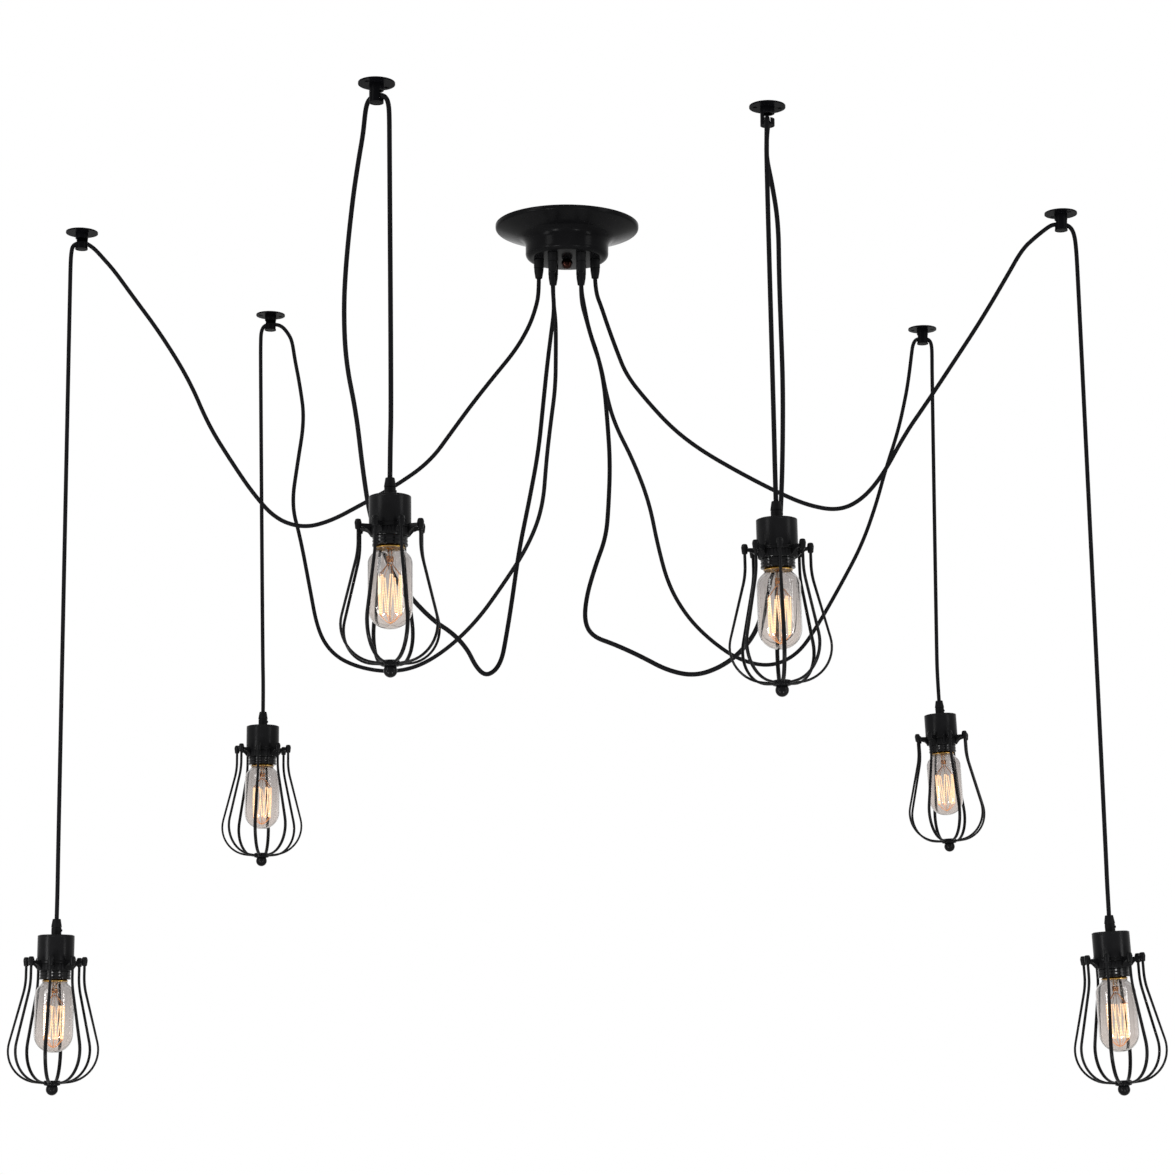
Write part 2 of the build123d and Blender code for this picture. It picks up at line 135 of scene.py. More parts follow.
def mouldedNylon(name, dark, light):
    material, shader, place = newMaterial(name, IOR=1.53, Specular_IOR_Level=0.04)
    grain = addNode(material, "ShaderNodeTexNoise", {"Scale": perMetre(nylon["grainMm"]), "Detail": 3.0},
                    place)
    flow = addNode(material, "ShaderNodeTexNoise",
                   {"Scale": perMetre(nylon["flowMm"]), "Distortion": 0.6}, place)
    colour = addNode(material, "ShaderNodeValToRGB", {"stops": [(0.3, dark), (0.75, light)]}, {"Fac": flow})
    dull = addNode(material, "ShaderNodeValToRGB", {"stops": [(0.3, 0.44), (0.7, 0.58)]}, {"Fac": grain})
    bump = addNode(material, "ShaderNodeBump", {"Strength": 0.3, "Distance": nylon["grainDeep"] * mm},
                   {"Height": grain})
    link(material, shader, {"Base Color": colour, "Roughness": dull, "Normal": bump})
    return material


# Phenolic, compression moulded and polished by its mould: a deep black with a soft gloss
phenolic = {"swirlMm": 9, "swirlDeep": 0.05}


def mouldedPhenolic():
    material, shader, place = newMaterial("phenolicMouldedBlack", IOR=1.6, Specular_IOR_Level=0.1)
    swirl = addNode(material, "ShaderNodeTexNoise",
                    {"Scale": perMetre(phenolic["swirlMm"]), "Detail": 4.0, "Distortion": 1.2}, place)
    colour = addNode(material, "ShaderNodeValToRGB", {"stops": [(0.35, "#060607"), (0.7, "#0B0B0C")]},
                     {"Fac": swirl})
    dull = addNode(material, "ShaderNodeValToRGB", {"stops": [(0.3, 0.14), (0.75, 0.2)]}, {"Fac": swirl})
    bump = addNode(material, "ShaderNodeBump", {"Strength": 0.12, "Distance": phenolic["swirlDeep"] * mm},
                   {"Height": swirl})
    link(material, shader, {"Base Color": colour, "Roughness": dull, "Normal": bump})
    return material


# Polyester yarn, braided over the cord: slanting ribs both ways with a thread's soft sheen. A real plait
# is about 0.6 mm across, and it is drawn near 1.6 mm, seven to the girth, so that it shows
braid = {"diameter": 5, "plaits": 7, "ribMm": 0.12, "fuzzMm": 0.8, "dark": "#0A0A0B", "light": "#121214"}


def braidedYarn():
    material, shader, _ = newMaterial("polyesterYarnBraided", Sheen_Weight=0.006, Sheen_Roughness=0.4,
                                      Specular_IOR_Level=0.02)
    run = {"Vector": addNode(material, "ShaderNodeUVMap", {"uv_map": "cordLength"})}
    slope = radians(45)
    plaitMm = pi * braid["diameter"] * cos(slope) / braid["plaits"]
    ribs = []
    for slant in (1, -1):
        turned = addNode(material, "ShaderNodeMapping", {"Rotation": (0, 0, slant * slope)}, run)
        ribs.append(addNode(material, "ShaderNodeTexWave", {"Scale": perMetre(plaitMm) * waveShare},
                            {"Vector": turned}))
    weave = addNode(material, "ShaderNodeMath", {"operation": "MAXIMUM"}, {0: ribs[0], 1: ribs[1]})
    fuzz = addNode(material, "ShaderNodeTexNoise", {"Scale": perMetre(braid["fuzzMm"]), "Detail": 4.0}, run)
    both = addNode(material, "ShaderNodeMath", {"operation": "MULTIPLY"}, {0: weave, 1: fuzz})
    stops = [(0.1, braid["dark"]), (0.6, braid["light"])]
    colour = addNode(material, "ShaderNodeValToRGB", {"stops": stops}, {"Fac": both})
    dull = addNode(material, "ShaderNodeValToRGB", {"stops": [(0.3, 0.5), (0.7, 0.68)]}, {"Fac": fuzz})
    bump = addNode(material, "ShaderNodeBump", {"Strength": 0.25, "Distance": braid["ribMm"] * mm},
                   {"Height": weave})
    link(material, shader, {"Base Color": colour, "Roughness": dull, "Normal": bump})
    return material


# Brass, spun to shape: fine rings from the roller and a few darker stains
brass = {"stainMm": 7, "ringMm": 0.9, "ringDeep": 0.03}


def spunBrass(name, dark, light):
    material, shader, place = newMaterial(name, Metallic=1.0)
    stain = addNode(material, "ShaderNodeTexNoise", {"Scale": perMetre(brass["stainMm"]), "Detail": 4.0},
                    place)
    pitch = perMetre(brass["ringMm"]) * waveShare
    rings = addNode(material, "ShaderNodeTexWave",
                    {"bands_direction": "Z", "Scale": pitch, "Distortion": 1.5}, place)
    colour = addNode(material, "ShaderNodeValToRGB", {"stops": [(0.3, dark), (0.7, light)]}, {"Fac": stain})
    dull = addNode(material, "ShaderNodeValToRGB", {"stops": [(0.3, 0.36), (0.7, 0.24)]}, {"Fac": stain})
    bump = addNode(material, "ShaderNodeBump", {"Strength": 0.15, "Distance": brass["ringDeep"] * mm},
                   {"Height": rings})
    link(material, shader, {"Base Color": colour, "Roughness": dull, "Normal": bump})
    return material


# Steel strip, zinc plated in a barrel: pale grey with cloudy crystals
zinc = {"crystalMm": 5, "fineMm": 1.2, "fineDeep": 0.03}


def platedSteel():
    material, shader, place = newMaterial("steelZincPlated", Metallic=1.0)
    cloud = addNode(material, "ShaderNodeTexVoronoi", {"Scale": perMetre(zinc["crystalMm"])}, place)
    fine = addNode(material, "ShaderNodeTexNoise", {"Scale": perMetre(zinc["fineMm"]), "Detail": 4.0}, place)
    colour = addNode(material, "ShaderNodeValToRGB", {"stops": [(0.2, "#A4A6A6"), (0.8, "#C2C4C3")]},
                     {"Fac": (cloud, "Color")})
    dull = addNode(material, "ShaderNodeValToRGB", {"stops": [(0.3, 0.3), (0.7, 0.46)]}, {"Fac": fine})
    bump = addNode(material, "ShaderNodeBump", {"Strength": 0.2, "Distance": zinc["fineDeep"] * mm},
                   {"Height": fine})
    link(material, shader, {"Base Color": colour, "Roughness": dull, "Normal": bump})
    return material


# Soda-lime glass, ribbon blown, with a grey cast: painted shade makes it greyer at its shoulder and clearer
# at its tip; rippled
glass = {"neck": -52.9, "tip": -133.4, "rippleMm": 24, "rippleDeep": 0.4}


def blownGlass():
    material, shader, place = newMaterial("sodaLimeGlassBlown", IOR=1.38, Roughness=0.02,
                                          Transmission_Weight=1.0)
    split = addNode(material, "ShaderNodeSeparateXYZ", None, place)
    height = addNode(material, "ShaderNodeMapRange",
                     {"From Min": glass["tip"] * mm, "From Max": glass["neck"] * mm}, {"Value": (split, "Z")})
    # Grey cast, with painted shade that darkens it towards the shoulder
    greyCastAndShade = addNode(material, "ShaderNodeValToRGB", {"stops": [(0.25, "#E2DCD8"), (0.85, "#CBC7C5")]},
                    {"Fac": height})
    # Painted shade darkens its outline, standing for the wall being thicker to look through where it turns
    # away
    turned = (addNode(material, "ShaderNodeLayerWeight"), "Facing")
    rim = addNode(material, "ShaderNodeValToRGB", {"stops": [(0.72, "#FFFFFF"), (0.97, "#8E8580")]},
                  {"Fac": turned})
    # In a colour mix, inputs 6 and 7 are the two colours and output 2 is their product
    tint = addNode(material, "ShaderNodeMix", {"data_type": "RGBA", "blend_type": "MULTIPLY", "Factor": 1.0},
                   {6: greyCastAndShade, 7: rim})
    ripple = addNode(material, "ShaderNodeTexNoise", {"Scale": perMetre(glass["rippleMm"]), "Detail": 1.0},
                     place)
    bump = addNode(material, "ShaderNodeBump", {"Strength": 0.05, "Distance": glass["rippleDeep"] * mm},
                   {"Height": ripple})
    link(material, shader, {"Base Color": (tint, 2), "Normal": bump})
    return material


# Lead glass, pressed round the lead wires: clear with a grey cast and small seeds
leadGlass = {"seedMm": 2.5, "seedDeep": 0.1}


def pressedGlass():
    material, shader, place = newMaterial("leadGlassPressed", IOR=1.35, Roughness=0.03,
                                          Transmission_Weight=1.0)
    seeds = addNode(material, "ShaderNodeTexNoise", {"Scale": perMetre(leadGlass["seedMm"]), "Detail": 3.0},
                    place)
    colour = addNode(material, "ShaderNodeValToRGB", {"stops": [(0.3, "#E4E0DA"), (0.7, "#F6F4F0")]},
                     {"Fac": seeds})
    bump = addNode(material, "ShaderNodeBump", {"Strength": 0.1, "Distance": leadGlass["seedDeep"] * mm},
                   {"Height": seeds})
    link(material, shader, {"Base Color": colour, "Normal": bump})
    return material


# Tungsten wire, coiled and lit at low power: pale yellow on each turn of the coil, amber between
def litTungsten(name, gap, crest, strength):
    coilMm = 1.6
    material, shader, place = newMaterial(name, Roughness=0.5, Base_Color=linear("#5A3A22"),
                                          Emission_Strength=strength)
    pitch = perMetre(coilMm) * waveShare
    coil = addNode(material, "ShaderNodeTexWave", {"bands_direction": "Z", "Scale": pitch, "Distortion": 0.3},
                   place)
    glow = addNode(material, "ShaderNodeValToRGB", {"stops": [(0.1, gap), (0.5, crest)]}, {"Fac": coil})
    link(material, shader, {"Emission Color": glow})
    return material


# Molybdenum wire, drawn: its amber colour is a painted reflection of the lit coil beside it
def drawnWire():
    drawMm = 0.8
    material, shader, place = newMaterial("molybdenumWireDrawn", Metallic=1.0, Roughness=0.38)
    draw = addNode(material, "ShaderNodeTexNoise", {"Scale": perMetre(drawMm)}, place)
    # Amber ramp: painted reflection of the coil's light
    colour = addNode(material, "ShaderNodeValToRGB", {"stops": [(0.3, "#B06A34"), (0.7, "#E9B070")]},
                     {"Fac": draw})
    link(material, shader, {"Base Color": colour})
    return material


# Polycarbonate, moulded: off-white with a faint flow haze
def mouldedPolycarbonate():
    hazeMm = 6
    material, shader, place = newMaterial("polycarbonateMoulded", IOR=1.58)
    haze = addNode(material, "ShaderNodeTexNoise", {"Scale": perMetre(hazeMm)}, place)
    colour = addNode(material, "ShaderNodeValToRGB", {"stops": [(0.3, "#D8D4C8"), (0.7, "#E8E5DC")]},
                     {"Fac": haze})
    dull = addNode(material, "ShaderNodeValToRGB", {"stops": [(0.3, 0.42), (0.7, 0.52)]}, {"Fac": haze})
    link(material, shader, {"Base Color": colour, "Roughness": dull})
    return material


canopyCoat = powderCoat("polyesterPowderCoatCanopy", "#0A0A0B", "#0F0F10", 0.2, 0.024)
lampCoat = powderCoat("polyesterPowderCoatLamp", "#0A0A0B", "#0F0F10", 0.24, 0.05)
hookCoat = powderCoat("polyesterPowderCoatHook", "#050506", "#08080A", 0.3, 0.014)
gripNylon = mouldedNylon("nylonMouldedGrip", "#09090A", "#0E0E0F")
ringNylon = mouldedNylon("nylonMouldedRing", "#0B0B0C", "#111112")
socketPhenolic = mouldedPhenolic()
cordYarn = braidedYarn()
capBrass = spunBrass("brassSpunCap", "#A87B33", "#D9AE55")
nutBronze = spunBrass("bronzeSpunNut", "#170C0A", "#2A1713")
barSteel = platedSteel()
bulbGlass = blownGlass()
stemGlass = pressedGlass()
coilTungsten = litTungsten("tungstenCoiledLit", "#FF8E30", "#FFEFC8", 2.0)
tailTungsten = litTungsten("tungstenDrawnWarm", "#E0702A", "#FFB266", 1.1)
leadWire = drawnWire()
blockPlastic = mouldedPolycarbonate()
print("materials made:", len(bpy.data.materials))


# Meshes
def addObject(name, mesh, material, place=None):
    piece = bpy.data.objects.new(name, mesh)
    if not mesh.materials:
        mesh.materials.append(material)
    piece.matrix_world = place or Matrix()
    scene.collection.objects.link(piece)
    return piece


def finishMesh(shape, name, sharpAngle=35):
    mesh = bpy.data.meshes.new(name)
    bmesh.ops.recalc_face_normals(shape, faces=shape.faces)
    shape.to_mesh(mesh)
    shape.free()
    mesh.shade_smooth()
    mesh.set_sharp_from_angle(angle=radians(sharpAngle))
    return mesh


def asPart(shape):
    # A part to be added to a larger mesh
    part = bpy.data.meshes.new("part")
    shape.to_mesh(part)
    shape.free()
    return part


def rounded(corners, steps=5):
    # (radius, height, rounding) corners in millimetres, made points in metres
    points = []
    for i, (r, z, rounding) in enumerate(corners):
        here = Vector((r, z))
        if not rounding:
            points.append(here * mm)
            continue
        before = (Vector(corners[i - 1][:2]) - here).normalized()
        after = (Vector(corners[i + 1][:2]) - here).normalized()
        half = before.angle(after) / 2
        centre = here + (before + after).normalized() * (rounding / sin(half))
        start = (here + before * (rounding / tan(half)) - centre) / rounding
        end = (here + after * (rounding / tan(half)) - centre) / rounding
        for step in range(steps + 1):
            points.append((centre + start.slerp(end, step / steps) * rounding) * mm)
    return points


def lathe(shape, corners, segments, steps=5):
    # A solid of revolution about Z, whose corners run from axis to axis or make a closed loop
    profile = rounded(corners, steps)
    closed = corners[0][0] > 0
    rings = []
    for r, z in profile:
        if r < 1e-7:
            rings.append([shape.verts.new((0, 0, z))])
        else:
            rings.append([shape.verts.new((r * cos(a), r * sin(a), z))
                          for a in (2 * pi * k / segments for k in range(segments))])
    pairs = list(zip(rings, rings[1:])) + ([(rings[-1], rings[0])] if closed else [])
    for upper, lower in pairs:
        for k in range(segments):
            n = (k + 1) % segments
            corner = [upper[k % len(upper)], upper[n % len(upper)],
                      lower[n % len(lower)], lower[k % len(lower)]]
            shape.faces.new(list(dict.fromkeys(corner)))
    return rings


def tube(shape, points, radius, sides, uvLayer=None, across=None, flats=None):
    # A tube along points, with its length and girth in metres as UV where a layer is given. It is round, or
    # pressed flat by (share across, share through) pairs, with its broad side lying along the vector across
    count = len(points)
    along = [(points[min(i + 1, count - 1)] - points[max(i - 1, 0)]).normalized() for i in range(count)]
    side = across or along[0].orthogonal().normalized()
    rings, lengths, travelled = [], [], 0.0
    for i, point in enumerate(points):
        side = (side - along[i] * side.dot(along[i])).normalized()
        other = along[i].cross(side)
        wide, thin = flats[i] if flats else (1, 1)
        rings.append([])
        for k in range(sides):
            a = 2 * pi * k / sides
            out = side * cos(a) * wide + other * sin(a) * thin
            rings[-1].append(shape.verts.new(point + out * radius))
        travelled += (point - points[i - 1]).length if i else 0
        lengths.append(travelled)
    girth = 2 * pi * radius
    for i in range(count - 1):
        for k in range(sides):
            n = (k + 1) % sides
            face = shape.faces.new((rings[i][k], rings[i][n], rings[i + 1][n], rings[i + 1][k]))
            if uvLayer:
                marks = [(k, i), (k + 1, i), (k + 1, i + 1), (k, i + 1)]
                for loop, (turn, step) in zip(face.loops, marks):
                    loop[uvLayer].uv = (girth * turn / sides, lengths[step])
    shape.faces.new(rings[0])
    shape.faces.new(list(reversed(rings[-1])))


def lampPiece(name, mesh, material, number):
    # A copy of the mesh at the middle of the cup's top, turned to the lamp's own axes
    joint = joints[f"lamp_{number}_twist"]
    axis = Vector(joint["axis"]).normalized()
    lean = atan2(-axis.x, axis.z)
    turned = Matrix.Rotation(-lean, 4, "Y") @ Matrix.Rotation(radians(cage["turns"][number]), 4, "Z")
    own = mesh.copy()
    own.transform(turned)
    cupTop = Vector(joint["pos_m"]) - axis * grip["length"] * mm
    return addObject(name, own, material, Matrix.Translation(cupTop))


def dressLamps(body, kinds):
    # Adds each kind of piece to every lamp, riding on its lamp or bulb in place of its CAD node
    for number in range(1, 7):
        for label, mesh, material, slotName, node in kinds:
            piece = lampPiece(f"{label}_{number}", mesh, material, number)
            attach(piece, f"{body}_{number}")
            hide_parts(f"{node}_{number}")


# The pieces of a lamp, in millimetres from the middle of its cup's top
# Cup: spun, with a rolled edge at the top and a hemmed lower edge; the pieces on it are "play" clear
cup = {"radius": 21, "depth": 29.5, "wall": 1, "play": 0.1, "hole": 4.1, "topStep": 1.7, "stepDepth": 0.5,
       "bandFrom": 2.4, "bandTo": 3.1, "bandSunk": 0.25}


def cupMesh():
    shape = bmesh.new()
    r, w, hole, step, low = cup["radius"], cup["wall"], cup["hole"], -cup["stepDepth"], -cup["depth"]
    edge, high = r - cup["topStep"], -cup["bandFrom"]
    lathe(shape, [(hole, 0, 0), (edge, 0, 0.5), (edge, step, 0.3), (r, step, 0.9), (r, high, 0.4),
                  (r - cup["bandSunk"], high - 0.3, 0.3), (r, -cup["bandTo"], 0.3), (r, low, 0.4),
                  (r - w, low, 0.3), (r - w, -w, 0.4), (hole, -w, 0)], 96, 3)
    return finishMesh(shape, "cupSpun", 32)


# Cord grip: a screwed cap over a tapered jaw, with a seam and a small set screw
grip = {"length": 18.4, "radius": 6, "topRadius": 4.6, "band": 1.6, "seam": 8.4, "baseRadius": 5.7,
        "seamHalf": 0.3, "groove": 0.4, "lip": 0.1, "screwRadius": 1.3, "screwOut": 1, "screwIn": 0.6,
        "screwShare": 0.62}


def gripMesh():
    shape = bmesh.new()
    top, seam, base, gap = grip["length"], grip["seam"], grip["baseRadius"], grip["seamHalf"]
    lathe(shape, [(0, top, 0), (grip["topRadius"], top, 0.8), (grip["radius"], seam + grip["band"], 0.8),
                  (grip["radius"], seam + gap, 0.3), (base - grip["groove"], seam + gap, 0),
                  (base - grip["groove"], seam - gap, 0), (base + grip["lip"], seam - gap, 0.2),
                  (base, 0, 0), (0, 0, 0)], 40, 3)
    # Set screw on the side
    screw = bmesh.new()
    r, out, sunk = grip["screwRadius"], grip["screwOut"], -grip["screwIn"]
    lathe(screw, [(0, out, 0), (r, out, 0.3), (r, sunk, 0), (0, sunk, 0)], 14, 2)
    spot = Vector((base, 0, seam * grip["screwShare"])) * mm
    bmesh.ops.transform(screw, matrix=Matrix.Translation(spot) @ Matrix.Rotation(radians(90), 4, "Y"),
                        verts=screw.verts)
    shape.from_mesh(asPart(screw))
    return finishMesh(shape, "cordGrip")


# Lampholder: a body inside the cup, and its threaded skirt below
socket = {"skirtRadius": 17.7, "skirtDepth": 50.7, "plain": 10.4, "bore": 13.6, "boreTop": -24.9,
          "threads": 3, "pitch": 3.3, "threadDepth": 0.6}


def socketMesh():
    shape = bmesh.new()
    body, skirt, rim = cup["radius"] - cup["wall"] - cup["play"], socket["skirtRadius"], -cup["depth"]
    corners = [(0, -cup["wall"], 0), (body, -cup["wall"], 0.6), (body, rim, 0), (skirt, rim, 0),
               (skirt, rim - socket["plain"], 0)]
    for thread in range(socket["threads"]):
        top = rim - socket["plain"] - socket["pitch"] * thread
        corners += [(skirt - socket["threadDepth"], top - socket["pitch"] * 0.3, 0.35),
                    (skirt, top - socket["pitch"] * 0.7, 0.35)]
    corners += [(skirt, -socket["skirtDepth"], 0.5), (socket["bore"], -socket["skirtDepth"], 0),
                (socket["bore"], socket["boreTop"], 0), (0, socket["boreTop"], 0)]
    lathe(shape, corners, 72, 3)
    return finishMesh(shape, "socketBody")


# Shade ring: a knurled nut that clamps the cage's collar under the cup
ring = {"radius": 20.2, "height": 7.3, "ribs": 24, "facets": 6, "groove": 0.6}


def ringMesh():
    shape = bmesh.new()
    hole, top = socket["skirtRadius"] + cup["play"], -cup["depth"] - cage["collar"]
    bottom = top - ring["height"]
    rings = lathe(shape, [(hole, top, 0), (ring["radius"], top, 0.5), (ring["radius"], bottom, 0.7),
                          (hole, bottom, 0)], ring["ribs"] * ring["facets"], 3)
    for loop in rings[1:-1]:
        for k, vert in enumerate(loop):
            if k % ring["facets"] in (0, 1):
                vert.co.x *= 1 - ring["groove"] / ring["radius"]
                vert.co.y *= 1 - ring["groove"] / ring["radius"]
    return finishMesh(shape, "shadeRing", 25)


# Cage: "sunk" is the length of wire inside knob and hub, and "turns" are degrees about each lamp's axis
cage = {"wires": 8, "wireRadius": 1.6, "flatFrom": -58, "flatTo": -95, "flatWide": 1.34, "flatThin": 0.8,
        "sunk": 1.5, "reach": 33.3, "collarRadius": 21.5, "collar": 3.5, "armWidth": 4.2, "armStart": 0.4,
        "armEdge": 0.5, "webDrop": 6.5, "webFall": 2.2, "knobRadius": 3.6, "knobTop": -25.1, "knobCap": 3.6,
        "knobBottom": -35.5, "sleeve": 2.2, "bendDepth": -57, "bendRound": 80, "bellyRadius": 60.8,
        "bellyDepth": -162.4, "bellyRound": 36, "hubRadius": 9.35, "hubHeight": 6.3, "hubDepth": -167.8,
        "ballRadius": 6.9, "ballDepth": -174.6, "ballSteps": 14,
        "turns": {1: 1, 2: 23, 3: -3, 4: 0, 5: -22, 6: 11}}


def wirePoints():
    corners = [(cage["reach"], cage["knobBottom"] + cage["sunk"], 0),
               (cage["reach"], cage["bendDepth"], cage["bendRound"]),
               (cage["bellyRadius"], cage["bellyDepth"], cage["bellyRound"]),
               (cage["hubRadius"] - cage["sunk"], cage["hubDepth"], 0)]
    return [Vector((r, 0, z)) for r, z in rounded(corners, 14)]


def cageMesh():
    shape = bmesh.new()
    top, collar, hole = -cup["depth"], cage["collar"], socket["skirtRadius"] + cup["play"]
    lathe(shape, [(hole, top, 0), (cage["collarRadius"], top, 0.5), (cage["collarRadius"], top - collar, 0.7),
                  (hole, top - collar, 0)], 72, 3)
    # Arm with its curved web, as a flat plate with rounded edges
    arm = bmesh.new()
    inner, outer = ring["radius"] + cage["armStart"], cage["reach"]
    tip = outer - cage["knobRadius"]
    lower = [Vector((inner + (tip - inner) * t, -collar - cage["webDrop"] * (1 - t) ** cage["webFall"]))
             for t in (0, 0.15, 0.3, 0.45, 0.6, 0.75, 0.9, 1)]
    outline = [Vector((inner, 0)), *lower, Vector((outer, -collar)), Vector((outer, 0))]
    half = cage["armWidth"] / 2
    front = [arm.verts.new(Vector((p.x, -half, top + p.y)) * mm) for p in outline]
    back = [arm.verts.new(Vector((p.x, half, top + p.y)) * mm) for p in outline]
    arm.faces.new(front)
    arm.faces.new(list(reversed(back)))
    for k in range(len(outline)):
        n = (k + 1) % len(outline)
        arm.faces.new((front[k], back[k], back[n], front[n]))
    bmesh.ops.bevel(arm, geom=list(arm.edges), offset=cage["armEdge"] * mm, segments=2, affect="EDGES",
                    clamp_overlap=True)
    # Knob: domed top, waist under the arm, and the wire's sleeve
    knob = bmesh.new()
    r, crown, foot = cage["knobRadius"], cage["knobTop"], cage["knobBottom"]
    lathe(knob, [(0, crown, 0), (r * 0.75, crown, 1.6), (r, crown - cage["knobCap"], 1.2),
                 (r * 0.86, top - collar, 0.5), (r * 0.8, foot + 0.6, 0.6), (cage["sleeve"], foot, 0),
                 (0, foot, 0)], 24, 4)
    bmesh.ops.translate(knob, vec=Vector((cage["reach"], 0, 0)) * mm, verts=knob.verts)
    points = wirePoints()
    flats = []
    for point in points:
        share = (point.z / mm - cage["flatFrom"]) / (cage["flatTo"] - cage["flatFrom"])
        share = min(max(share, 0), 1)
        flats.append((1 + (cage["flatWide"] - 1) * share, 1 + (cage["flatThin"] - 1) * share))
    tube(knob, points, cage["wireRadius"] * mm, 12, across=Vector((0, 1, 0)), flats=flats)
    parts = [asPart(arm), asPart(knob)]
    for wire in range(cage["wires"]):
        turn = Matrix.Rotation(2 * pi * wire / cage["wires"], 3, "Z")
        for part in parts:
            before = len(shape.verts)
            shape.from_mesh(part)
            shape.verts.ensure_lookup_table()
            bmesh.ops.rotate(shape, cent=(0, 0, 0), matrix=turn, verts=shape.verts[before:])
    # Hub and the ball under it
    half, r = cage["hubHeight"] / 2, cage["hubRadius"]
    hubTop, hubFoot = cage["hubDepth"] + half, cage["hubDepth"] - half
    lathe(shape, [(0, hubTop, 0), (r, hubTop, 0.8), (r, hubFoot + 1, 0.8), (r * 0.62, hubFoot, 0),
                  (0, hubFoot, 0)], 40, 3)
    ball, steps = [], cage["ballSteps"]
    for step in range(steps + 1):
        a = pi * step / steps
        ball.append((cage["ballRadius"] * sin(a) if 0 < step < steps else 0,
                     cage["ballDepth"] + cage["ballRadius"] * cos(a), 0))
    lathe(shape, ball, 32)
    return finishMesh(shape, "cageWelded", 40)


dressLamps("lamp", [("cordGrip", gripMesh(), gripNylon, "holder_plastic", "lampholder"),
                    ("socketBody", socketMesh(), socketPhenolic, "holder_plastic", "lampholder"),
                    ("shadeRing", ringMesh(), ringNylon, "ring_plastic", "shade_ring"),
                    ("cageWelded", cageMesh(), lampCoat, "cage_black", "cage")])
print("holders and cages made")


# Bulb: blown envelope, brass cap, pressed stem and zigzag filament, in the same millimetres
bulb = {"top": glass["neck"], "neck": 14, "radius": 22.3, "wall": 0.9, "bottom": glass["tip"],
        "neckLength": 1.4, "neckRound": 2.5, "shoulder": 8.6, "shoulderRound": 14, "endRound": 21}


def envelopeMesh():
    shape = bmesh.new()
    r, w, neck, top, end = (bulb[key] for key in ("radius", "wall", "neck", "top", "bottom"))
    neckEnd = top - bulb["neckLength"]
    shoulder, bend = neckEnd - bulb["shoulder"], bulb["shoulderRound"]
    # Up the inside and down the outside
    lathe(shape, [(0, end + w, 0), (r - w, end + w, bulb["endRound"] - w), (r - w, shoulder, bend - w),
                  (neck - w, neckEnd, bulb["neckRound"] + w), (neck - w, top, 0), (neck, top, 0),
                  (neck, neckEnd, bulb["neckRound"]), (r, shoulder, bend), (r, end, bulb["endRound"]),
                  (0, end, 0)], 72, 12)
    return finishMesh(shape, "glassEnvelope", 60)


cap = {"top": -28.4, "radius": 13.2, "contact": 4.4, "contactHeight": 3.1, "insulator": 4.6, "edge": 1.5,
       "threads": 5, "threadFrom": 2, "pitch": 3.6, "threadDepth": 0.9, "flare": 14.9, "flareTop": -50.8,
       "flareEdge": 0.5, "rebate": 1.2}


def capMesh():
    shape = bmesh.new()
    r, top, end, hole = cap["radius"], cap["top"], bulb["top"], stem["flareRadius"]
    peak, rebate = top + cap["contactHeight"], end + cap["rebate"]
    corners = [(0, peak, 0), (cap["contact"], peak, 0.8), (cap["insulator"], top, 0),
               (r - cap["edge"], top, 1.0)]
    for thread in range(cap["threads"]):
        z = top - cap["threadFrom"] - cap["pitch"] * thread
        corners += [(r, z - cap["pitch"] * 0.25, 0.6), (r - cap["threadDepth"], z - cap["pitch"] * 0.75, 0.6)]
    corners += [(r, cap["flareTop"], 0.4), (cap["flare"], end + cap["flareEdge"], 0.3),
                (cap["flare"], end, 0), (hole + 1, end, 0), (hole, rebate, 0), (0, rebate, 0)]
    lathe(shape, corners, 64, 3)
    return finishMesh(shape, "screwCap", 50)


stem = {"flareRadius": 5.6, "flareLength": 4, "tubeRadius": 3, "wall": 0.5, "tubeEnd": -61,
        "pressRadius": 2.9, "pressEnd": -66.5, "pressShare": 0.5, "rodRadius": 0.85, "end": -128.4}


def stemMesh():
    shape = bmesh.new()
    r, w, flare, tubeEnd = stem["tubeRadius"], stem["wall"], stem["flareRadius"], stem["tubeEnd"]
    top, throat = bulb["top"], bulb["top"] - stem["flareLength"]
    # Flared tube
    lathe(shape, [(flare, top, 0), (r, throat, 3), (r, tubeEnd, 0), (r - w, tubeEnd, 0), (r - w, throat, 3),
                  (flare - w, top, 0)], 28, 4)
    # Press, flattened on the two lead wires, and the rod below it
    press = bmesh.new()
    r, rod, pressEnd, end = stem["pressRadius"], stem["rodRadius"], stem["pressEnd"], stem["end"]
    lathe(press, [(0, tubeEnd, 0), (r, tubeEnd, 0.6), (r, pressEnd + 1.5, 1.2), (rod, pressEnd, 0.6),
                  (rod, end, 0.5), (0, end, 0)], 24, 3)
    for vert in press.verts:
        if vert.co.z > pressEnd * mm:
            vert.co.y *= stem["pressShare"]
    shape.from_mesh(asPart(press))
    return finishMesh(shape, "pressedStem", 50)


# Filament, its wires by radius; "spread" is how far its legs stand from their hook, as a share of a loop
filament = {"radius": 11.4, "footRadius": 10.6, "top": -80.4, "bottom": -118.4, "loops": 7, "spread": 0.09,
            "belly": 0.5, "coil": 0.62, "tail": 0.32, "support": 0.26, "lead": 0.45, "wrap": 0.55,
            "wraps": 4, "wrapPitch": 1.3, "wrapGap": 0.3, "wrapSway": 0.5}


def around(radius, z, step):
    # A point at a step of the filament's loops round its axis
    a = 2 * pi * step / filament["loops"]
    return Vector((radius * cos(a), radius * sin(a), z)) * mm


